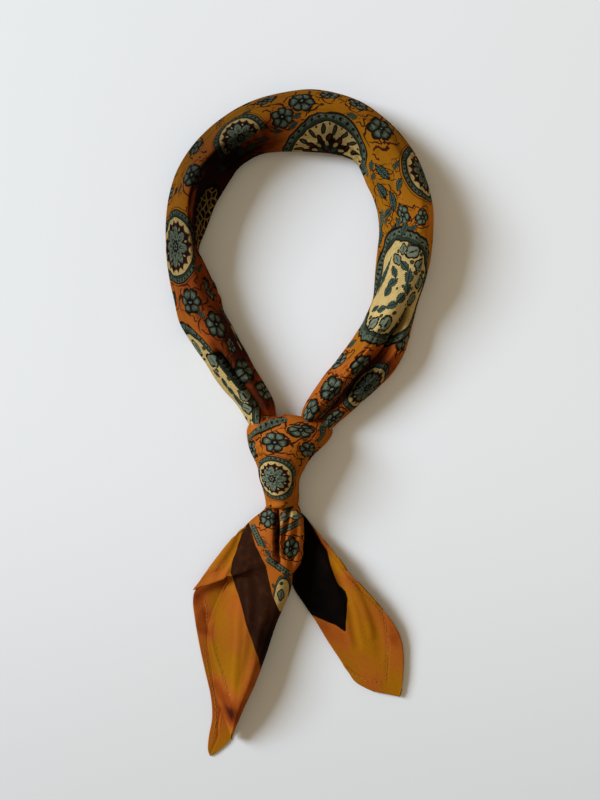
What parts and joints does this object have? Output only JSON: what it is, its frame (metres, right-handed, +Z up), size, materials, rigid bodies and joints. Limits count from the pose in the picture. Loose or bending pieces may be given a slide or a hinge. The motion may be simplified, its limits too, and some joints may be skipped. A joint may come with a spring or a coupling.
{
  "type": "bandana",
  "caption": "Square cotton bandana rolled into a band and knotted, lying flat, with a neck loop and two flared hemmed tails.",
  "frame": {"origin": "on the surface that the bandana lies on, under the middle of its bounding box", "axes": "+Y from the tails to the far end of the neck loop, +X to the right seen from above, +Z up"},
  "size_m": [0.1251, 0.312, 0.0226],
  "materials": {
    "printed_cotton": "matt printed plain-weave cotton, rust ground with a small floral, medallion and paisley print",
    "border_cotton": "matt plain-weave cotton, mustard border with a dark stripe and stitched rolled hems"
  },
  "bodies": {
    "root": {"loop_left": "printed_cotton", "loop_far_end": "printed_cotton", "loop_right": "printed_cotton", "left_strand_inner": "printed_cotton", "left_strand_outer": "printed_cotton", "right_strand_front": "printed_cotton", "right_strand_back": "printed_cotton", "knot": "printed_cotton", "left_tail_front": "border_cotton", "left_tail_under": "border_cotton", "right_tail": "border_cotton"}
  },
  "joints": []
}
